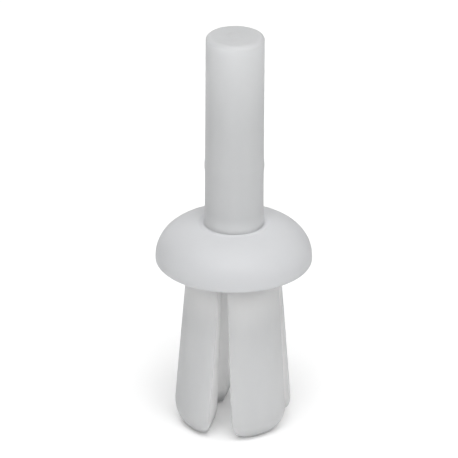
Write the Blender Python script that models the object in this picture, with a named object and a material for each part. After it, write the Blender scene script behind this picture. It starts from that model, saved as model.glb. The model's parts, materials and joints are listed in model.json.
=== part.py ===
"""Drive-in wall anchor moulded in natural nylon, standing on the tips of its legs.

A mushroom head runs down into a short neck, and four legs hang from the neck. The legs are moulded
flared, with a slot between each pair that widens towards the toes, so that they can be squeezed
together through a drilled hole. The drive pin stands on the head, held by a thin web in a shallow
dish. A blow on the pin breaks the web and drives the pin down the bore, where it opens the legs.

Each leg bends at its root in two places: at the neck, where it gives inwards as it passes through
the hole, and at the foot of its flexure, where the pin forces it outwards.

The frame: +Z up along the pin, the origin under the centre of the toes, the slots along X and Y.
"""

from math import cos, pi, radians, sin, sqrt

import bmesh
import bpy
from mathutils import Matrix, Vector

MM = 0.001

# Head: a flat underside, a short upright rim and a low dome.
HEAD_DIAMETER = 11.1 * MM
HEAD_HEIGHT = 2.95 * MM
RIM_HEIGHT = 0.25 * MM
RIM_EDGE = 0.15 * MM
CROWN_DIAMETER = 3.9 * MM
DOME_POWER = 2.2

# Dish in the crown, where the web holds the pin.
DISH_SLOPE_WIDTH = 0.15 * MM
DISH_DEPTH = 0.2 * MM
WEB_WIDTH = 0.2 * MM
WEB_THICKNESS = 0.1 * MM

# Shank: the neck and the four flared legs.
SHANK_LENGTH = 12.6 * MM
SHANK_DIAMETER = 6.58 * MM
TOE_DIAMETER = 8.56 * MM
NECK_HEIGHT = 0.95 * MM
NECK_FILLET = 0.25 * MM
FLEXURE_LENGTH = 1.45 * MM
SLOT_ROOT_WIDTH = 0.48 * MM
SLOT_TOE_WIDTH = 1.8 * MM
TOE_CORNER = 1.0 * MM
NOSE_RADIUS = 1.45 * MM

# Drive pin.
PIN_DIAMETER = 4.15 * MM
PIN_DRAFT = 0.07 * MM
PIN_LENGTH = 14.9 * MM
PIN_SEAT_DEPTH = 0.75 * MM
PIN_LEAD_IN = 0.3 * MM
PIN_TOP_EDGE = 0.25 * MM
PIN_BEAD_RISE = 4.4 * MM
PIN_BEAD_WIDTH = 0.9 * MM
PIN_BEAD_HEIGHT = 0.03 * MM

# Motion and fits.
SPREAD_ANGLE = radians(4.8)
RUNNING_CLEARANCE = 0.04 * MM
RESTING_GAP = 0.03 * MM
BEND_GAP = 0.12 * MM

# How finely round shapes are divided.
ROUND_STEPS = 72
ARC_STEPS = 5
DOME_STEPS = 10
TOE_BORE_STEPS = 8
WELD_DISTANCE = 1e-7
BLANK_OVERRUN = 0.02 * MM
SHARP_ANGLE = radians(30)

# What follows from the sizes above.
HEAD_RADIUS = HEAD_DIAMETER / 2
CROWN_RADIUS = CROWN_DIAMETER / 2
SHANK_RADIUS = SHANK_DIAMETER / 2
TOE_RADIUS = TOE_DIAMETER / 2
PIN_RADIUS = PIN_DIAMETER / 2
BORE_RADIUS = PIN_RADIUS + RUNNING_CLEARANCE
LEDGE_RADIUS = BORE_RADIUS + WEB_WIDTH + RESTING_GAP
DISH_RADIUS = LEDGE_RADIUS + DISH_SLOPE_WIDTH

SEAT_Z = SHANK_LENGTH
CROWN_Z = SEAT_Z + HEAD_HEIGHT
LEDGE_Z = CROWN_Z - DISH_DEPTH
PIN_TIP_Z = CROWN_Z - PIN_SEAT_DEPTH
PIN_TOP_Z = PIN_TIP_Z + PIN_LENGTH
PIN_TRAVEL = PIN_TOP_Z - CROWN_Z

HINGE_RADIUS = (BORE_RADIUS + SHANK_RADIUS) / 2
SQUEEZE_Z = SEAT_Z - NECK_HEIGHT
SPREAD_Z = SQUEEZE_Z - FLEXURE_LENGTH

# Each leg's direction from +X, towards +Y. The front is -Y.
LEG_DIRECTIONS = {
    "front_right": radians(-45),
    "back_right": radians(45),
    "back_left": radians(135),
    "front_left": radians(225),
}


def clear_scene():
    for obj in list(bpy.data.objects):
        bpy.data.objects.remove(obj)


def nylon(name, colour, roughness):
    """Unfilled nylon in its natural milky white."""
    material = bpy.data.materials.new(name)
    material.use_nodes = True
    shader = material.node_tree.nodes["Principled BSDF"]
    shader.inputs["Base Color"].default_value = (*colour, 1.0)
    shader.inputs["Roughness"].default_value = roughness
    shader.inputs["Metallic"].default_value = 0.0
    return material


def arc(centre, radius, start, end, steps=ARC_STEPS):
    """Points of (radius, height) along an arc, by angles from the outward direction towards +Z."""
    angles = [start + (end - start) * step / steps for step in range(steps + 1)]
    return [(centre[0] + radius * cos(a), centre[1] + radius * sin(a)) for a in angles]


def finished_mesh(bm, name):
    """The mesh of bm, welded, facing outwards and shaded smooth between its sharp edges."""
    bmesh.ops.remove_doubles(bm, verts=bm.verts, dist=WELD_DISTANCE)
    bmesh.ops.recalc_face_normals(bm, faces=bm.faces)
    mesh = bpy.data.meshes.new(name)
    bm.to_mesh(mesh)
    bm.free()
    mesh.shade_smooth()
    mesh.set_sharp_from_angle(angle=SHARP_ANGLE)
    return mesh


def turned_mesh(name, outline):
    """An outline of (radius, height) points spun about Z. One that starts on the axis ends on it."""
    bm = bmesh.new()
    verts = [bm.verts.new((radius, 0.0, height)) for radius, height in outline]
    ends = verts[1:] if outline[0][0] == 0.0 else verts[1:] + verts[:1]
    edges = [bm.edges.new(pair) for pair in zip(verts, ends)]
    bmesh.ops.spin(
        bm,
        geom=verts + edges,
        cent=(0.0, 0.0, 0.0),
        axis=(0.0, 0.0, 1.0),
        angle=2 * pi,
        steps=ROUND_STEPS,
        use_merge=True,
    )
    return finished_mesh(bm, name)


def placed(name, mesh, material):
    """A node with that mesh and its own material."""
    if not mesh.materials:
        mesh.materials.append(material)
    obj = bpy.data.objects.new(name, mesh)
    bpy.context.scene.collection.objects.link(obj)
    return obj


def shank_radius(z):
    """Outer radius of the shank, which flares evenly from the head's seat to the toes."""
    return TOE_RADIUS + (SHANK_RADIUS - TOE_RADIUS) * z / SEAT_Z


def slot_width(z):
    """Width of the slot between two legs, which widens evenly from the head's seat to the toes."""
    return SLOT_TOE_WIDTH + (SLOT_ROOT_WIDTH - SLOT_TOE_WIDTH) * z / SEAT_Z


def dome_outline():
    """The dome from the top of the rim inwards and up, as far as the edge of the dish."""
    reach, rise = HEAD_RADIUS - CROWN_RADIUS, HEAD_HEIGHT - RIM_HEIGHT
    share = max(0.0, (DISH_RADIUS - CROWN_RADIUS) / reach)
    top_z = SEAT_Z + RIM_HEIGHT + rise * (1 - share**DOME_POWER) ** (1 / DOME_POWER)
    points = []
    for step in range(DOME_STEPS):
        angle = pi / 2 * step / DOME_STEPS
        radius = CROWN_RADIUS + reach * cos(angle) ** (2 / DOME_POWER)
        if radius > DISH_RADIUS + RIM_EDGE:
            height = rise * sin(angle) ** (2 / DOME_POWER)
            points.append((radius, SEAT_Z + RIM_HEIGHT + height))
    return points + [(DISH_RADIUS, top_z)]


def head_outline():
    """Section of the head and neck, from the neck's foot round the underside and dome to the bore."""
    neck_foot = SQUEEZE_Z + BEND_GAP / 2
    fillet_foot = SEAT_Z - NECK_FILLET
    fillet_centre = (shank_radius(fillet_foot) + NECK_FILLET, fillet_foot)
    rim_centre = (HEAD_RADIUS - RIM_EDGE, SEAT_Z + RIM_EDGE)
    return [
        (BORE_RADIUS, neck_foot),
        (shank_radius(neck_foot), neck_foot),
        *arc(fillet_centre, NECK_FILLET, pi, pi / 2, 3),
        *arc(rim_centre, RIM_EDGE, -pi / 2, 0, 3),
        *dome_outline(),
        ((DISH_RADIUS + LEDGE_RADIUS) / 2, LEDGE_Z + DISH_DEPTH / 4),
        (LEDGE_RADIUS, LEDGE_Z),
        (BORE_RADIUS, LEDGE_Z),
    ]


def web_outline():
    """Section of the thin ring that joins pin and head until the first blow."""
    foot = LEDGE_Z + RESTING_GAP
    return [
        (BORE_RADIUS, foot),
        (BORE_RADIUS + WEB_WIDTH, foot),
        (BORE_RADIUS + WEB_WIDTH, foot + WEB_THICKNESS),
        (BORE_RADIUS, foot + WEB_THICKNESS),
    ]


def pin_radius(z):
    """Radius of the pin, which narrows evenly from its tip to its struck end."""
    return PIN_RADIUS - PIN_DRAFT / 2 * (z - PIN_TIP_Z) / PIN_LENGTH


def pin_outline():
    """Section of the drive pin: a chamfered tip, a low bead, a slight draft and a rounded top edge."""
    bead_z = CROWN_Z + PIN_BEAD_RISE
    bead_foot, bead_top = bead_z - PIN_BEAD_WIDTH / 2, bead_z + PIN_BEAD_WIDTH / 2
    edge_z = PIN_TOP_Z - PIN_TOP_EDGE
    return [
        (0.0, PIN_TIP_Z),
        (PIN_RADIUS - PIN_LEAD_IN, PIN_TIP_Z),
        (PIN_RADIUS, PIN_TIP_Z + PIN_LEAD_IN),
        (pin_radius(bead_foot), bead_foot),
        (pin_radius(bead_z) + PIN_BEAD_HEIGHT, bead_z),
        (pin_radius(bead_top), bead_top),
        *arc((pin_radius(edge_z) - PIN_TOP_EDGE, edge_z), PIN_TOP_EDGE, 0, pi / 2),
        (0.0, PIN_TOP_Z),
    ]


def toe_bore_radius(z):
    """Radius of the bore between the legs, so narrow that the passing pin opens them as coupled.

    When the pin's tip reaches height z, the leg has turned in step with the pin's travel. The edges
    of the leg's inner face, on its slot walls, are then one running clearance off the pin.
    """
    depth = SPREAD_Z - z
    travel = min(PIN_TIP_Z - z, PIN_TRAVEL)
    shift = SPREAD_ANGLE * travel / PIN_TRAVEL * depth
    wall = slot_width(z) / 2
    spare = 2 * shift**2 - 4 * (wall**2 + sqrt(2) * shift * wall + shift**2 - BORE_RADIUS**2)
    along = (sqrt(max(spare, 0.0)) - sqrt(2) * shift) / 2
    return max(sqrt(along**2 + wall**2), sqrt(2) * wall)


def leg_ring_outline():
    """Section of the flared ring that the legs are slotted from, below their flexures."""
    top = SPREAD_Z - BEND_GAP / 2
    heights = [top * step / TOE_BORE_STEPS for step in range(TOE_BORE_STEPS + 1)]
    nose_centre = (shank_radius(NOSE_RADIUS) - NOSE_RADIUS, NOSE_RADIUS)
    return [
        (shank_radius(top), top),
        *arc(nose_centre, NOSE_RADIUS, 0, -pi / 2, 6),
        *[(toe_bore_radius(z), z) for z in heights],
    ]


def flexure_ring_outline():
    """Section of the plain ring that the flexures are slotted from."""
    top, foot = SQUEEZE_Z - BEND_GAP / 2, SPREAD_Z + BEND_GAP / 2
    return [
        (BORE_RADIUS, foot),
        (shank_radius(foot), foot),
        (shank_radius(top), top),
        (BORE_RADIUS, top),
    ]


def quarter_blank(name, top, foot, corner):
    """What the slots leave for one leg: a quarter wedge along +X whose lower edges can be rounded."""
    bm = bmesh.new()
    rings = []
    for z in (foot, top):
        apex = slot_width(z) / sqrt(2)
        half = HEAD_RADIUS - apex
        corners = ((apex, 0.0), (HEAD_RADIUS, half), (HEAD_RADIUS, -half))
        rings.append([bm.verts.new((x, y, z)) for x, y in corners])
    lower, upper = rings
    bm.faces.new(lower)
    bm.faces.new(upper)
    for side in range(3):
        ahead = (side + 1) % 3
        bm.faces.new((lower[side], lower[ahead], upper[ahead], upper[side]))
    if corner:
        slot_edges = [bm.edges.get((lower[0], lower[side])) for side in (1, 2)]
        bmesh.ops.bevel(
            bm,
            geom=slot_edges,
            offset=corner,
            offset_type="OFFSET",
            segments=6,
            profile=0.5,
            affect="EDGES",
        )
    return finished_mesh(bm, name)


def slotted_mesh(name, outline, blank, hinge_z):
    """The part of a turned ring inside the quarter blank, moved so that its hinge is at the origin."""
    ring = bpy.data.objects.new(name, turned_mesh(name, outline))
    cutter = bpy.data.objects.new(name + "_blank", blank)
    for obj in (ring, cutter):
        bpy.context.scene.collection.objects.link(obj)
    cut = ring.modifiers.new("slots", "BOOLEAN")
    cut.operation = "INTERSECT"
    cut.solver = "EXACT"
    cut.object = cutter
    graph = bpy.context.evaluated_depsgraph_get()
    mesh = bpy.data.meshes.new_from_object(ring.evaluated_get(graph))
    mesh.transform(Matrix.Translation((-HINGE_RADIUS, 0.0, -hinge_z)))
    mesh.shade_smooth()
    mesh.set_sharp_from_angle(angle=SHARP_ANGLE)
    for obj in (ring, cutter):
        bpy.data.objects.remove(obj)
    return mesh


def flexure_mesh():
    blank = quarter_blank(
        "flexure_blank", SQUEEZE_Z + BLANK_OVERRUN, SPREAD_Z - BLANK_OVERRUN, 0.0
    )
    return slotted_mesh("flexure", flexure_ring_outline(), blank, SQUEEZE_Z)


def leg_mesh():
    corner = min(TOE_CORNER, (TOE_RADIUS - SLOT_TOE_WIDTH) / 2)
    blank = quarter_blank("leg_blank", SPREAD_Z + BLANK_OVERRUN, -BLANK_OVERRUN, corner)
    return slotted_mesh("leg", leg_ring_outline(), blank, SPREAD_Z)


def add_legs(material):
    """Four flexures round the neck, each carrying its leg. Their origins lie on their hinge axes."""
    flexure_shape, leg_shape = flexure_mesh(), leg_mesh()
    for place, direction in LEG_DIRECTIONS.items():
        outwards = Vector((cos(direction), sin(direction), 0.0))
        flexure = placed("flexure_" + place, flexure_shape, material)
        flexure.location = outwards * HINGE_RADIUS + Vector((0.0, 0.0, SQUEEZE_Z))
        flexure.rotation_euler.z = direction
        leg = placed("leg_" + place, leg_shape, material)
        leg.parent = flexure
        leg.location.z = SPREAD_Z - SQUEEZE_Z


def main():
    clear_scene()
    head_nylon = nylon("head_nylon", (0.72, 0.73, 0.74), 0.42)
    pin_nylon = nylon("pin_nylon", (0.66, 0.67, 0.68), 0.4)
    leg_nylon = nylon("leg_nylon", (0.6, 0.61, 0.61), 0.45)
    placed("head", turned_mesh("head", head_outline()), head_nylon)
    placed("shear_web", turned_mesh("shear_web", web_outline()), head_nylon)
    placed("drive_pin", turned_mesh("drive_pin", pin_outline()), pin_nylon)
    add_legs(leg_nylon)


main()
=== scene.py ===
"""Looks of a drive-in wall anchor moulded in natural nylon.

A mushroom head with a short collar, a drive pin standing in it on a thin web, and four slotted legs
below. Lengths are in metres; the toes stand on the floor and the slots lie along X and Y.
"""
import json
from math import atan2, cos, pi, radians, sin, sqrt

import bmesh
import bpy
from mathutils import Matrix, Vector


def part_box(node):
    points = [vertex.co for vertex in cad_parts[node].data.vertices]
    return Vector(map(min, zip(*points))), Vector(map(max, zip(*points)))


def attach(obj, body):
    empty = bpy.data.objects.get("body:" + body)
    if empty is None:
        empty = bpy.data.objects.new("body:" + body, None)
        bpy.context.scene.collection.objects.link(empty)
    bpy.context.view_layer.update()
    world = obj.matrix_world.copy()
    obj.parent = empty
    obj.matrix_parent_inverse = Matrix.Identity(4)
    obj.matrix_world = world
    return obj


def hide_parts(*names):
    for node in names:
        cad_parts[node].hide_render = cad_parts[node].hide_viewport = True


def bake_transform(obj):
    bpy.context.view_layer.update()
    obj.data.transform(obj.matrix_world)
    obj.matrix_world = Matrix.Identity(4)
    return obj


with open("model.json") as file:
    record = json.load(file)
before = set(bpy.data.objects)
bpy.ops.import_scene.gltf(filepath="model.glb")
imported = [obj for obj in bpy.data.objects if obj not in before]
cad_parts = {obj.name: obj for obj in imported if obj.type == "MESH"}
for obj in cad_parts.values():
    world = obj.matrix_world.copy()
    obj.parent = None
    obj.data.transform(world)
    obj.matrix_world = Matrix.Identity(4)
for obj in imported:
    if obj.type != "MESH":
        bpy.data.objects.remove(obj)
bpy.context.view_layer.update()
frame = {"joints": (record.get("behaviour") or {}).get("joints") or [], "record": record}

MM = 0.001


def named(things, name):
    """The thing in the list that has this name."""
    return next(thing for thing in things if thing["name"] == name)


# ---------------------------------------------------------------- places that follow the frame

LEG_DIRECTIONS = {
    "front_right": radians(-45),
    "back_right": radians(45),
    "back_left": radians(135),
    "front_left": radians(225),
}
SEAT_Z = named(frame["record"]["mounts"], "head_seat")["pos_m"][2]
CROWN_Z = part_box("head")[1].z
HEAD_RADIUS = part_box("head")[1].x
PIN_TIP_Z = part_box("drive_pin")[0].z
PIN_TOP_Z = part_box("drive_pin")[1].z
PIN_TRAVEL = named(frame["joints"], "pin_drive")["range_m"][1]
SQUEEZE_Z = named(frame["joints"], "front_right_squeeze")["pos_m"][2]
SPREAD_Z = named(frame["joints"], "front_right_spread")["pos_m"][2]
SPREAD_ANGLE = radians(named(frame["joints"], "front_right_spread")["range_deg"][1])

# ---------------------------------------------------------------- sizes

# Clearances and the small bevel that keeps an inside corner crisp under smooth shading.
RUNNING_CLEARANCE = 0.04 * MM
JOINT_GAP = 0.06 * MM
CREASE = 0.01 * MM

# Head: a dome over a short upright rim, flattened at its crown.
RIM_HEIGHT = 0.25 * MM
RIM_EDGE = 0.15 * MM
CROWN_RADIUS = 1.95 * MM
DOME_POWER = 2.2
DOME_REACH = HEAD_RADIUS - CROWN_RADIUS
DOME_RISE = CROWN_Z - SEAT_Z - RIM_HEIGHT

# Dish round the pin, and the lip of the web that stands up against it.
DISH_RADIUS = 2.55 * MM
DISH_EDGE = 0.12 * MM
VALLEY_RADIUS = 2.26 * MM
VALLEY_DEPTH = 0.08 * MM
LIP_FILLET = 0.14 * MM
LIP_DEPTH = 0.5 * MM

# Collar under the head, with a pocket for the top of each leg.
COLLAR_FILLET = 0.25 * MM
COLLAR_SKIRT = 0.05 * MM
POCKET_DEPTH = 0.29 * MM
BRIDGE_HALF_ANGLE = radians(5.5)

# Shank and legs.
SHANK_RADIUS = 3.29 * MM
TOE_RADIUS = 4.28 * MM
SLOT_ROOT_WIDTH = 0.48 * MM
SLOT_TOE_WIDTH = 1.8 * MM
SLOT_EDGE = 0.11 * MM
BORE_EDGE = 0.12 * MM

# Tongue at the top of a leg, which sits in its pocket in the collar.
TONGUE_INSET = 0.12 * MM
TONGUE_SIDE = 0.08 * MM
TONGUE_HEIGHT = 0.2 * MM
TONGUE_SHOULDER = 0.02 * MM

# Rounding of the toes: how far in, and how far up it reaches, on each side of the leg.
NOSE_IN = 1.1 * MM
NOSE_UP = 1.75 * MM
SLOT_CORNER_IN = 0.5 * MM
SLOT_CORNER_UP = 1.25 * MM
BORE_CORNER_IN = 1.3 * MM
BORE_CORNER_UP = 2.3 * MM
TOE_EDGE = 0.75 * MM

# Drive pin, its bead where the mould halves meet, and the swelling where it joins the web.
PIN_RADIUS = 2.075 * MM
PIN_DRAFT = 0.07 * MM
PIN_CHAMFER = 0.3 * MM
PIN_TOP_EDGE = 0.3 * MM
BEAD_RISE = 4.4 * MM
BEAD_WIDTH = 1.3 * MM
BEAD_HEIGHT = 0.045 * MM
SWELL_RISE = 0.03 * MM
SWELL_WIDTH = 0.5 * MM
SWELL_HEIGHT = 0.04 * MM

# Struck end: a very shallow dish with the mark of the moulding gate in its middle.
TOP_DISH = 0.04 * MM
GATE_RADIUS = 0.45 * MM
GATE_SLOPE = 0.05 * MM
GATE_HEIGHT = 0.03 * MM

BORE_RADIUS = PIN_RADIUS + RUNNING_CLEARANCE
PIN_LENGTH = PIN_TOP_Z - PIN_TIP_Z

# How finely the shapes are divided.
HEAD_STEPS = 360
DOME_STEPS = 40
DISH_STEPS = 14
PIN_STEPS = 192
SWELL_STEPS = 12
BEAD_STEPS = 20
ARC_STEPS = 8
TOP_EDGE_STEPS = 10
OUTER_STEPS = 26
EDGE_STEPS = 9
WALL_STEPS = 12
BORE_STEPS = 12
TOE_LEVELS = 24
LEG_LEVELS = 40
WELD_DISTANCE = 1e-8

# ---------------------------------------------------------------- mesh helpers


def arc(centre, radius, start, end, steps=ARC_STEPS):
    """Points of (radius, height) along an arc, by angles from the outward direction towards +Z."""
    angles = [start + (end - start) * step / steps for step in range(steps + 1)]
    return [(centre[0] + radius * cos(a), centre[1] + radius * sin(a)) for a in angles]


def shown(bm, name, material):
    """An object from bm, welded, facing outwards and shaded smooth."""
    bmesh.ops.remove_doubles(bm, verts=bm.verts, dist=WELD_DISTANCE)
    bmesh.ops.recalc_face_normals(bm, faces=bm.faces)
    mesh = bpy.data.meshes.new(name)
    bm.to_mesh(mesh)
    bm.free()
    mesh.shade_smooth()
    mesh.set_sharp_from_angle(angle=radians(40))
    mesh.materials.append(material)
    obj = bpy.data.objects.new(name, mesh)
    bpy.context.scene.collection.objects.link(obj)
    return obj


def bridge(bm, rings, closed=False):
    """Quads between each ring of vertices and the next, and back to the first if closed."""
    pairs = list(zip(rings, rings[1:] + rings[:1]))
    for lower, upper in pairs if closed else pairs[:-1]:
        count = len(lower)
        for i in range(count):
            ahead = (i + 1) % count
            bm.faces.new((lower[i], lower[ahead], upper[ahead], upper[i]))


def turned(name, outline, steps, material, closed=False):
    """An outline of (radius, height) points turned about Z. A height can be a function of the angle."""
    bm = bmesh.new()
    rings = []
    for radius, height in outline:
        ring = []
        for step in range(steps):
            angle = 2 * pi * step / steps
            z = height(angle) if callable(height) else height
            ring.append(bm.verts.new((radius * cos(angle), radius * sin(angle), z)))
        rings.append(ring)
    bridge(bm, rings, closed)
    bmesh.ops.dissolve_degenerate(bm, dist=WELD_DISTANCE, edges=bm.edges)
    return shown(bm, name, material)


# ---------------------------------------------------------------- shapes


def shank_radius(z):
    """Outer radius of the shank, which flares evenly from the head's seat to the toes."""
    return TOE_RADIUS + (SHANK_RADIUS - TOE_RADIUS) * z / SEAT_Z


def half_slot(z):
    """Half the slot's width, which widens evenly from the head's seat to the toes."""
    return (SLOT_TOE_WIDTH + (SLOT_ROOT_WIDTH - SLOT_TOE_WIDTH) * z / SEAT_Z) / 2


def pin_radius(z):
    """Radius of the pin, which narrows evenly from its tip to its struck end."""
    return PIN_RADIUS - PIN_DRAFT / 2 * (z - PIN_TIP_Z) / PIN_LENGTH


def leg_bore_radius(z):
    """Radius of the bore between the legs, narrowing so that the passing pin opens them."""
    if z > SPREAD_Z:
        return BORE_RADIUS
    depth = SPREAD_Z - z
    travel = min(PIN_TIP_Z - z, PIN_TRAVEL)
    shift = SPREAD_ANGLE * travel / PIN_TRAVEL * depth
    wall = half_slot(z)
    spare = 2 * shift**2 - 4 * (wall**2 + sqrt(2) * shift * wall + shift**2 - BORE_RADIUS**2)
    along = (sqrt(max(spare, 0.0)) - sqrt(2) * shift) / 2
    return max(sqrt(along**2 + wall**2), sqrt(2) * wall)


def dome_outline():
    """The dome from the top of the rim up to the rounded edge of the dish."""
    points = []
    for step in range(DOME_STEPS):
        angle = pi / 2 * step / DOME_STEPS
        radius = CROWN_RADIUS + DOME_REACH * cos(angle) ** (2 / DOME_POWER)
        rise = DOME_RISE * sin(angle) ** (2 / DOME_POWER)
        if radius > DISH_RADIUS + DISH_EDGE:
            points.append((radius, SEAT_Z + RIM_HEIGHT + rise))
    return points


def dish_outline():
    """From the dome over a soft edge into a shallow valley, and up the web's lip against the pin."""
    share = (DISH_RADIUS - CROWN_RADIUS) / DOME_REACH
    edge_z = SEAT_Z + RIM_HEIGHT + DOME_RISE * (1 - share**DOME_POWER) ** (1 / DOME_POWER)
    slope = []
    for step in range(DISH_STEPS + 1):
        t = step / DISH_STEPS
        fall = t * t * (3 - 2 * t)
        slope.append((DISH_RADIUS - (DISH_RADIUS - VALLEY_RADIUS) * t, edge_z - VALLEY_DEPTH * fall))
    lip_centre = (BORE_RADIUS + 0.9 * LIP_FILLET, edge_z - VALLEY_DEPTH + LIP_FILLET)
    return slope + arc(lip_centre, LIP_FILLET, -pi / 2, -0.85 * pi)


def collar_pocket(angle):
    """Height of the collar's inside face: a pocket over each leg's tongue, and a bridge at each slot."""
    quarter = pi / 2
    off_slot = abs((angle + quarter / 2) % quarter - quarter / 2)
    foot = SQUEEZE_Z + JOINT_GAP / 2
    return foot if off_slot < BRIDGE_HALF_ANGLE else foot + POCKET_DEPTH


def make_head(material):
    """Head and collar in one turned piece, from the collar's inside face round to the bore."""
    foot = SQUEEZE_Z + JOINT_GAP / 2
    foot_radius = shank_radius(foot)
    skirt_radius = foot_radius - COLLAR_SKIRT
    fillet_foot = SEAT_Z - COLLAR_FILLET
    fillet_centre = (shank_radius(fillet_foot) + COLLAR_FILLET, fillet_foot)
    rim_centre = (HEAD_RADIUS - RIM_EDGE, SEAT_Z + RIM_EDGE)
    outline = [
        (BORE_RADIUS, collar_pocket),
        (skirt_radius, collar_pocket),
        (skirt_radius + CREASE / 2, foot),
        (foot_radius - CREASE, foot),
        (foot_radius, foot + CREASE),
        *arc(fillet_centre, COLLAR_FILLET, pi, pi / 2),
        *arc(rim_centre, RIM_EDGE, -pi / 2, 0),
        *dome_outline(),
        *dish_outline(),
        (BORE_RADIUS, CROWN_Z - LIP_DEPTH),
    ]
    head = turned("head_skin", outline, HEAD_STEPS, material, closed=True)
    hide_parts("head", "shear_web")
    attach(head, "sleeve")


def ring_swell(z, centre, width, height):
    """How far a smooth low ring round the pin stands out at height z."""
    reach = (z - centre) / (width / 2)
    return height * cos(pi / 2 * reach) ** 2 if abs(reach) < 1 else 0.0


def evenly(low, high, steps):
    """Evenly spaced values from low to high, both included."""
    return [low + (high - low) * step / steps for step in range(steps + 1)]


def make_pin(material):
    """The pin, turned from the middle of its tip to the middle of its struck end."""
    chamfer_top = PIN_TIP_Z + PIN_CHAMFER
    chamfer_foot = PIN_RADIUS - PIN_CHAMFER
    swell_z = CROWN_Z + SWELL_RISE
    bead_z = CROWN_Z + BEAD_RISE
    edge_z = PIN_TOP_Z - PIN_TOP_EDGE
    gate_z = PIN_TOP_Z - TOP_DISH
    # A plain stretch leaves out the heights that the swelling, the bead and the top edge take up.
    heights = [chamfer_top + 2 * CREASE]
    heights += evenly(swell_z - SWELL_WIDTH / 2, swell_z + SWELL_WIDTH / 2, SWELL_STEPS)
    heights += evenly(CROWN_Z, bead_z, 4)[1:4]
    heights += evenly(bead_z - BEAD_WIDTH / 2, bead_z + BEAD_WIDTH / 2, BEAD_STEPS)
    heights += evenly(bead_z, edge_z, 10)[2:10]
    side = []
    for z in heights:
        bead = ring_swell(z, bead_z, BEAD_WIDTH, BEAD_HEIGHT)
        swell = ring_swell(z, swell_z, SWELL_WIDTH, SWELL_HEIGHT)
        side.append((pin_radius(z) + bead + swell, z))
    outline = [
        (0.0, PIN_TIP_Z),
        (chamfer_foot - 2 * CREASE, PIN_TIP_Z),
        (chamfer_foot, PIN_TIP_Z + 0.6 * CREASE),
        (PIN_RADIUS - CREASE, chamfer_top - CREASE),
        *side,
        *arc((pin_radius(edge_z) - PIN_TOP_EDGE, edge_z), PIN_TOP_EDGE, 0, pi / 2, TOP_EDGE_STEPS),
        (PIN_RADIUS * 0.7, PIN_TOP_Z - TOP_DISH * 0.4),
        (PIN_RADIUS * 0.45, PIN_TOP_Z - TOP_DISH * 0.85),
        (GATE_RADIUS + 0.6 * GATE_SLOPE, gate_z),
        (GATE_RADIUS, gate_z + GATE_HEIGHT * 0.7),
        (GATE_RADIUS - GATE_SLOPE, gate_z + GATE_HEIGHT),
        (0.0, gate_z + GATE_HEIGHT * 0.8),
    ]
    pin = turned("pin_skin", outline, PIN_STEPS, material)
    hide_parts("drive_pin")
    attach(pin, "pin")


def rounding(z, inwards, upwards):
    """How far a side has drawn in at height z, on an elliptical rounding up from the floor."""
    if z >= upwards:
        return 0.0
    return inwards * (1 - sqrt(1 - ((upwards - z) / upwards) ** 2))


def leg_section(z, tongue=False):
    """One level of a leg in the quarter between +X and +Y, as (x, y) points in order round it.

    Half of it is worked out, from the middle of the outer face to the middle of the bore, and
    mirrored across the leg's own diagonal. Its corners are arcs that touch both of their sides,
    and are kept small enough for what is left of the leg where the toe rounds over.
    """
    low = max(z, 0.0)
    outer = shank_radius(low) - rounding(low, NOSE_IN, NOSE_UP)
    wall = half_slot(low) + rounding(low, SLOT_CORNER_IN, SLOT_CORNER_UP)
    bore = leg_bore_radius(low) + rounding(low, BORE_CORNER_IN, BORE_CORNER_UP)
    if tongue:
        outer -= TONGUE_INSET
        wall += TONGUE_SIDE
        bore += RUNNING_CLEARANCE
    room = (outer - sqrt(2) * wall) / (1 + sqrt(2))
    toe_edge = SLOT_EDGE + rounding(low, TOE_EDGE, NOSE_UP)
    edge = min(toe_edge, 0.85 * room, 0.48 * (outer - bore))
    bore_edge = min(BORE_EDGE, 0.5 * room)
    outer_x = sqrt((outer - edge) ** 2 - (wall + edge) ** 2)
    turn = atan2(wall + edge, outer_x)
    inner_x = max(sqrt(max((bore + bore_edge) ** 2 - (wall + bore_edge) ** 2, 0.0)), wall + bore_edge)
    inner_turn = atan2(wall + bore_edge, inner_x)
    points = []
    for step in range(OUTER_STEPS):
        angle = pi / 4 + (turn - pi / 4) * step / OUTER_STEPS
        points.append((outer * cos(angle), outer * sin(angle)))
    for step in range(EDGE_STEPS):
        angle = turn + (-pi / 2 - turn) * step / EDGE_STEPS
        points.append((outer_x + edge * cos(angle), wall + edge + edge * sin(angle)))
    for step in range(WALL_STEPS):
        x = outer_x + (inner_x - outer_x) * step / WALL_STEPS
        points.append((x, wall))
    for step in range(EDGE_STEPS):
        angle = -pi / 2 + (inner_turn - pi / 2) * step / EDGE_STEPS
        points.append((inner_x + bore_edge * cos(angle), wall + bore_edge + bore_edge * sin(angle)))
    reach = sqrt(inner_x**2 + (wall + bore_edge) ** 2) - bore_edge
    for step in range(BORE_STEPS + 1):
        angle = inner_turn + (pi / 4 - inner_turn) * step / BORE_STEPS
        points.append((reach * cos(angle), reach * sin(angle)))
    mirrored = [(y, x) for x, y in reversed(points[1:-1])]
    return points + mirrored


def leg_levels():
    """Heights up a leg, close together where the toe rounds over."""
    round_top = max(NOSE_UP, SLOT_CORNER_UP, BORE_CORNER_UP)
    rise = [round_top * (1 - cos(angle)) for angle in evenly(0.0, pi / 2, TOE_LEVELS)]
    shoulder = SQUEEZE_Z - JOINT_GAP / 2
    return rise + evenly(round_top, shoulder - TONGUE_SHOULDER, LEG_LEVELS)[1:]


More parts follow.
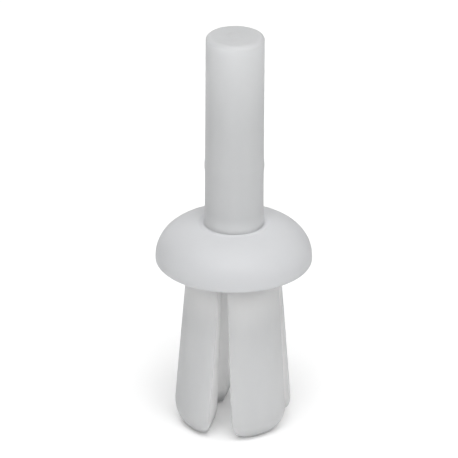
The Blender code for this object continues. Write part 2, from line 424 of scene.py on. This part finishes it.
def make_leg(place, direction, material):
    """A leg skinned over its levels, from the root to the toe."""
    bm = bmesh.new()
    levels = [(z, leg_section(z)) for z in leg_levels()]
    shoulder = SQUEEZE_Z - JOINT_GAP / 2
    for z in (shoulder, shoulder + TONGUE_SHOULDER, SQUEEZE_Z + TONGUE_HEIGHT):
        levels.append((z, leg_section(z, tongue=True)))
    turn = Matrix.Rotation(direction - pi / 4, 3, "Z")
    rings = [[bm.verts.new(turn @ Vector((x, y, z))) for x, y in ring] for z, ring in levels]
    bridge(bm, rings)
    caps = [bm.faces.new(rings[0]), bm.faces.new(rings[-1])]
    bmesh.ops.triangulate(bm, faces=caps)
    leg = shown(bm, "leg_skin_" + place, material)
    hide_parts("flexure_" + place, "leg_" + place)
    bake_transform(leg)


# ---------------------------------------------------------------- materials

# Real sizes of the patterns. Clouds run over a few millimetres. Spark pits are about 0.03 mm and
# draw marks about 0.05 mm wide, too fine to show, so both are drawn about four times coarser.
CLOUD_SIZE = 2.6 * MM
SPARK_PIT = 0.14 * MM
DRAW_MARK = 0.2 * MM

# How strongly they show. A noise lies mostly between the two values of NOISE_SPAN.
NOISE_SPAN = (0.3, 0.7)
CLOUD_SHARE = 0.15
GLOSS_SPREAD = 0.05
RELIEF_STRENGTH = 0.6

# The nylon itself, the same all over the moulding.
NYLON_IOR = 1.53
NYLON_SPECULAR = 0.3

# Lengths over which the painted light changes the tone, and the strength of the glow that is painted on a
# leg's inner faces for the light it lets through.
STRUCK_END = 7.0 * MM
FACE_DEPTH = 0.05 * MM
PIN_FOOT = 1.2 * MM
LEG_ROOT = 4.5 * MM
SEAT_BLEND = (-0.2 * MM, 0.3 * MM)
PAINTED_THROUGH_GLOW = 0.05

# Shares of the shank's radius between which a leg's inner faces begin, and the share of the toe's
# rounding that they leave out.
INNER_SHARES = (0.99, 0.88)
TOE_SHARE = 0.3


def linear(hex_colour):
    """An sRGB hex colour as linear RGBA."""
    values = [int(hex_colour[i : i + 2], 16) / 255 for i in (0, 2, 4)]
    return (*[v / 12.92 if v <= 0.04045 else ((v + 0.055) / 1.055) ** 2.4 for v in values], 1.0)


def add_node(tree, kind, sockets=None, **settings):
    """A new node with its settings. A socket takes a value, or another node's output to link."""
    made = tree.nodes.new(kind)
    for name, value in settings.items():
        setattr(made, name, value)
    for name, value in (sockets or {}).items():
        if isinstance(value, bpy.types.NodeSocket):
            tree.links.new(value, made.inputs[name])
        else:
            made.inputs[name].default_value = value
    return made


def new_material(name):
    """An empty Principled material, with its node tree and its shader."""
    material = bpy.data.materials.new(name)
    material.use_nodes = True
    return material, material.node_tree, material.node_tree.nodes["Principled BSDF"]


def moulded_nylon(name, body, pale, depth, roughness, texture_depth, stretch, painted_light_where, painted_glow_where=None):
    """Unfilled nylon 66 in its natural colour, as moulded.

    It is milky and lets light in as far as depth, so edges and thin walls look softer than a
    painted white would. The crystals form unevenly, which gives faint clouds in tone and gloss.
    The mould's spark-eroded face leaves a fine even texture with a satin gloss, and drawing the
    piece out of the mould leaves marks that are stretch times longer than wide. The last two
    arguments add nodes for masks: one that is 1 where light is painted in as a paler tone, and
    one that is 1 where a glow is painted on for the light that comes through from the other side.
    """
    material, tree, shader = new_material(name)
    place = add_node(tree, "ShaderNodeTexCoord").outputs["Object"]
    drawn = add_node(
        tree, "ShaderNodeMapping", {"Vector": place, "Scale": (1.0, 1.0, 1.0 / stretch)}
    ).outputs["Vector"]
    clouds = add_node(
        tree,
        "ShaderNodeTexNoise",
        {"Vector": drawn, "Scale": 1 / CLOUD_SIZE, "Detail": 3.0, "Roughness": 0.55},
    ).outputs["Fac"]
    span = {"Value": clouds, "From Min": NOISE_SPAN[0], "From Max": NOISE_SPAN[1]}
    cloud_tone = add_node(
        tree, "ShaderNodeMapRange", {**span, "To Min": 0.0, "To Max": CLOUD_SHARE}
    ).outputs["Result"]
    # The tone is the random clouds plus the light painted in by the paler-tone mask.
    tone = add_node(
        tree,
        "ShaderNodeMath",
        {0: cloud_tone, 1: painted_light_where(tree, place)},
        operation="ADD",
        use_clamp=True,
    ).outputs[0]
    colour = add_node(tree, "ShaderNodeValToRGB", {"Fac": tone})
    colour.color_ramp.elements[0].color = linear(body)
    colour.color_ramp.elements[1].color = linear(pale)
    pits = add_node(
        tree,
        "ShaderNodeTexNoise",
        {"Vector": place, "Scale": 1 / SPARK_PIT, "Detail": 2.0, "Roughness": 0.6},
    ).outputs["Fac"]
    marks = add_node(
        tree,
        "ShaderNodeTexNoise",
        {"Vector": drawn, "Scale": 1 / DRAW_MARK, "Detail": 2.0, "Roughness": 0.5},
    ).outputs["Fac"]
    relief = add_node(tree, "ShaderNodeMath", {0: pits, 1: marks}, operation="ADD").outputs[0]
    bump = add_node(
        tree,
        "ShaderNodeBump",
        {"Height": relief, "Strength": RELIEF_STRENGTH, "Distance": texture_depth},
    )
    satin = add_node(
        tree,
        "ShaderNodeMapRange",
        {**span, "To Min": roughness + GLOSS_SPREAD, "To Max": roughness - GLOSS_SPREAD},
    )
    tree.links.new(colour.outputs["Color"], shader.inputs["Base Color"])
    tree.links.new(satin.outputs["Result"], shader.inputs["Roughness"])
    tree.links.new(bump.outputs["Normal"], shader.inputs["Normal"])
    shader.inputs["IOR"].default_value = NYLON_IOR
    shader.inputs["Specular IOR Level"].default_value = NYLON_SPECULAR
    shader.inputs["Subsurface Weight"].default_value = 1.0
    shader.inputs["Subsurface Radius"].default_value = (1.0, 1.0, 1.0)
    shader.inputs["Subsurface Scale"].default_value = depth
    # A faint glow is painted on where the glow mask is 1, for the light that comes through the leg.
    if painted_glow_where:
        through = add_node(
            tree, "ShaderNodeMath", {0: painted_glow_where(tree, place), 1: PAINTED_THROUGH_GLOW}, operation="MULTIPLY"
        )
        shader.inputs["Emission Color"].default_value = linear(pale)
        tree.links.new(through.outputs[0], shader.inputs["Emission Strength"])
    return material


def height_of(tree, place):
    """Height of the point that is being shaded."""
    return add_node(tree, "ShaderNodeSeparateXYZ", {"Vector": place}).outputs["Z"]


def fade(tree, value, start, end):
    """A mask that goes smoothly from 0 where value is start to 1 where it is end."""
    return add_node(
        tree,
        "ShaderNodeMapRange",
        {"Value": value, "From Min": start, "From Max": end},
        interpolation_type="SMOOTHSTEP",
    ).outputs["Result"]


def pin_ends(tree, place):
    """Mask of the pin's struck end below its flat face, and of its foot at the web.

    Light enters the struck end from above as well, and the foot takes light from the head.
    """
    height = height_of(tree, place)
    top = fade(tree, height, PIN_TOP_Z - STRUCK_END, PIN_TOP_Z)
    below_face = add_node(
        tree,
        "ShaderNodeMapRange",
        {"Value": height, "From Min": PIN_TOP_Z - FACE_DEPTH, "From Max": PIN_TOP_Z - PIN_TOP_EDGE},
    ).outputs["Result"]
    foot = fade(tree, height, CROWN_Z + PIN_FOOT, CROWN_Z)
    return add_node(
        tree, "ShaderNodeMath", {0: top, 1: below_face, 2: foot}, operation="MULTIPLY_ADD"
    ).outputs[0]


def painted_light_above_seat(tree, place):
    """Mask of painted light on the head: above its seat it is painted paler than the collar below it, for
    the light its thick milky body gives back.
    """
    return add_node(
        tree,
        "ShaderNodeMapRange",
        {
            "Value": height_of(tree, place),
            "From Min": SEAT_Z + SEAT_BLEND[0],
            "From Max": SEAT_Z + SEAT_BLEND[1],
            "To Max": 1 - CLOUD_SHARE,
        },
    ).outputs["Result"]


def inner_faces(tree, place):
    """Mask of a leg's slot walls and bore above the rounded toe, by distance inside the shank, where
    light through the leg is painted on.
    """
    height = height_of(tree, place)
    outside = add_node(
        tree,
        "ShaderNodeMapRange",
        {"Value": height, "From Max": SEAT_Z, "To Min": TOE_RADIUS, "To Max": SHANK_RADIUS},
    ).outputs["Result"]
    flat = add_node(
        tree, "ShaderNodeVectorMath", {0: place, 1: (1.0, 1.0, 0.0)}, operation="MULTIPLY"
    ).outputs[0]
    reach = add_node(tree, "ShaderNodeVectorMath", {0: flat}, operation="LENGTH").outputs["Value"]
    share = add_node(tree, "ShaderNodeMath", {0: reach, 1: outside}, operation="DIVIDE").outputs[0]
    inside = add_node(
        tree,
        "ShaderNodeMapRange",
        {"Value": share, "From Min": INNER_SHARES[0], "From Max": INNER_SHARES[1]},
    ).outputs["Result"]
    above_toe = fade(tree, height, TOE_SHARE * NOSE_UP, NOSE_UP)
    return add_node(
        tree, "ShaderNodeMath", {0: inside, 1: above_toe}, operation="MULTIPLY"
    ).outputs[0]


def leg_painted_light(tree, place):
    """Mask of painted light on a leg: its inner faces are painted paler for the light that the leg lets
    through, and its root for the light it takes from the head above it.
    """
    root = fade(tree, height_of(tree, place), SEAT_Z - LEG_ROOT, SEAT_Z)
    return add_node(
        tree, "ShaderNodeMath", {0: root, 1: inner_faces(tree, place)}, operation="ADD"
    ).outputs[0]


# The sheet under the object: how many patches of uneven tone it has in a metre, how pale it is to
# the eye and to the light it throws back, and how much light comes up through it near the object
# and far away, over what distance.
SHEET_PATCHES = 60.0
SHEET_TONES = ("FAFAFA", "FFFFFF")
SHEET_BOUNCE = "F0F0F0"
SHEET_GLOW = (0.14, 0.8)
SHEET_GLOW_REACH = (0.15, 0.5)


def matt_paper():
    """White matt paper lit from above and faintly from below.

    It has no gloss and a faint unevenness in its tone. It throws back a little less light than
    it shows, as a smaller sheet would, and it glows more far away, so that its end isn't seen.
    """
    material, tree, shader = new_material("matt white paper")
    place = add_node(tree, "ShaderNodeTexCoord").outputs["Object"]
    mottle = add_node(tree, "ShaderNodeTexNoise", {"Vector": place, "Scale": SHEET_PATCHES})
    tone = add_node(tree, "ShaderNodeValToRGB", {"Fac": mottle.outputs["Fac"]})
    tone.color_ramp.elements[0].color = linear(SHEET_TONES[0])
    tone.color_ramp.elements[1].color = linear(SHEET_TONES[1])
    seen = add_node(tree, "ShaderNodeLightPath").outputs["Is Camera Ray"]
    sheet = add_node(
        tree,
        "ShaderNodeMix",
        {0: seen, 6: linear(SHEET_BOUNCE), 7: tone.outputs["Color"]},
        data_type="RGBA",
    )
    away = add_node(tree, "ShaderNodeVectorMath", {0: place}, operation="LENGTH").outputs["Value"]
    strength = add_node(
        tree,
        "ShaderNodeMapRange",
        {
            "Value": away,
            "From Min": SHEET_GLOW_REACH[0],
            "From Max": SHEET_GLOW_REACH[1],
            "To Min": SHEET_GLOW[0],
            "To Max": SHEET_GLOW[1],
        },
    ).outputs["Result"]
    glow = add_node(tree, "ShaderNodeMath", {0: seen, 1: strength}, operation="MULTIPLY").outputs[0]
    tree.links.new(sheet.outputs[2], shader.inputs["Base Color"])
    tree.links.new(glow, shader.inputs["Emission Strength"])
    shader.inputs["Roughness"].default_value = 0.95
    shader.inputs["Specular IOR Level"].default_value = 0.1
    shader.inputs["Emission Color"].default_value = linear("FFFFFF")
    return material


# ---------------------------------------------------------------- studio

VIEW_AZIMUTH = radians(13.0)
VIEW_ELEVATION = radians(25.9)
VIEW_DISTANCE = 270 * MM
VIEW_ROLL = radians(0.35)
VIEW_LENS = 299.4
AIM_UP = 2.112 * MM
AIM_LEFT = 0.354 * MM

# Brightness of the surround as light, what is added where it is seen, and the floor's half width.
SURROUND_LIGHT = 0.1
SURROUND_SEEN = 0.85
FLOOR_REACH = 2.0


def around(azimuth, elevation):
    """Unit direction from the object, azimuth 0 towards -Y and 90 degrees towards +X."""
    return Vector((sin(azimuth) * cos(elevation), -cos(azimuth) * cos(elevation), sin(elevation)))


def make_camera():
    """A long lens looking down on the object from slightly to its right."""
    seat = Vector((0.0, 0.0, SEAT_Z))
    back = around(VIEW_AZIMUTH, VIEW_ELEVATION)
    left = back.cross(Vector((0.0, 0.0, 1.0))).normalized()
    up = left.cross(back)
    place = seat + back * VIEW_DISTANCE
    aim = seat + up * AIM_UP + left * AIM_LEFT
    camera = bpy.data.objects.new("camera", bpy.data.cameras.new("camera"))
    bpy.context.scene.collection.objects.link(camera)
    camera.data.lens = VIEW_LENS
    camera.data.sensor_width = 36.0
    camera.data.clip_start = 0.01
    turn = (aim - place).to_track_quat("-Z", "Y").to_matrix().to_4x4()
    camera.matrix_world = Matrix.Translation(place) @ turn @ Matrix.Rotation(VIEW_ROLL, 4, "Z")
    bpy.context.scene.camera = camera


def softbox(name, azimuth, elevation, distance, size, power):
    """A square soft light aimed at the middle of the object, with its power in watts."""
    light = bpy.data.lights.new(name, "AREA")
    light.size = size
    light.energy = power
    lamp = bpy.data.objects.new(name, light)
    bpy.context.scene.collection.objects.link(lamp)
    middle = Vector((0.0, 0.0, PIN_TOP_Z / 2))
    lamp.location = middle + around(radians(azimuth), radians(elevation)) * distance
    lamp.rotation_euler = (middle - lamp.location).to_track_quat("-Z", "Y").to_euler()
    return lamp


def light_only(lamp, objects):
    """Let a lamp light these objects and nothing else."""
    lit = bpy.data.collections.new(lamp.name)
    for obj in objects:
        lit.objects.link(obj)
    lamp.light_linking.receiver_collection = lit


def make_studio():
    """A white surround, three soft lights on everything, a pale floor and a fourth light for it."""
    scene = bpy.context.scene
    scene.view_settings.view_transform = "Standard"
    world = bpy.data.worlds.new("white studio")
    scene.world = world
    world.use_nodes = True
    tree = world.node_tree
    background = tree.nodes["Background"]
    background.inputs["Color"].default_value = linear("FFFFFF")
    seen = add_node(tree, "ShaderNodeLightPath").outputs["Is Camera Ray"]
    strength = add_node(
        tree, "ShaderNodeMath", {0: seen, 1: SURROUND_SEEN, 2: SURROUND_LIGHT}, operation="MULTIPLY_ADD"
    )
    tree.links.new(strength.outputs[0], background.inputs["Strength"])
    softbox("key", azimuth=18, elevation=58, distance=0.6, size=0.6, power=2.8)
    softbox("overhead", azimuth=180, elevation=80, distance=0.7, size=0.7, power=1.3)
    softbox("back light", azimuth=205, elevation=6, distance=0.5, size=0.4, power=0.45)
    table_light = softbox("table light", azimuth=0, elevation=85, distance=0.7, size=0.7, power=1.4)
    bm = bmesh.new()
    bmesh.ops.create_grid(bm, x_segments=8, y_segments=8, size=FLOOR_REACH)
    floor = shown(bm, "floor", matt_paper())
    light_only(table_light, [floor])


def main():
    """The three finishes of the moulding, its pieces, and the view and the light on them."""
    head_nylon = moulded_nylon(
        "natural nylon, satin head",
        body="DADBDC",
        pale="E8E9EB",
        depth=0.03 * MM,
        roughness=0.48,
        texture_depth=0.004 * MM,
        stretch=1.0,
        # painted light: the head above its seat is painted paler than its collar
        painted_light_where=painted_light_above_seat,
    )
    pin_nylon = moulded_nylon(
        "natural nylon, drawn pin",
        body="DBDCDD",
        pale="EBECED",
        depth=0.7 * MM,
        roughness=0.45,
        texture_depth=0.003 * MM,
        stretch=8.0,
        painted_light_where=pin_ends,
    )
    leg_nylon = moulded_nylon(
        "natural nylon, slotted legs",
        body="DADBDC",
        pale="FFFFFF",
        depth=2.2 * MM,
        roughness=0.5,
        texture_depth=0.004 * MM,
        stretch=4.0,
        # painted light: a leg's inner faces and root are painted paler
        painted_light_where=leg_painted_light,
        # painted glow on a leg's inner faces, for the light that it lets through
        painted_glow_where=inner_faces,
    )
    make_head(head_nylon)
    make_pin(pin_nylon)
    for place, direction in LEG_DIRECTIONS.items():
        make_leg(place, direction, leg_nylon)
    make_camera()
    make_studio()


main()
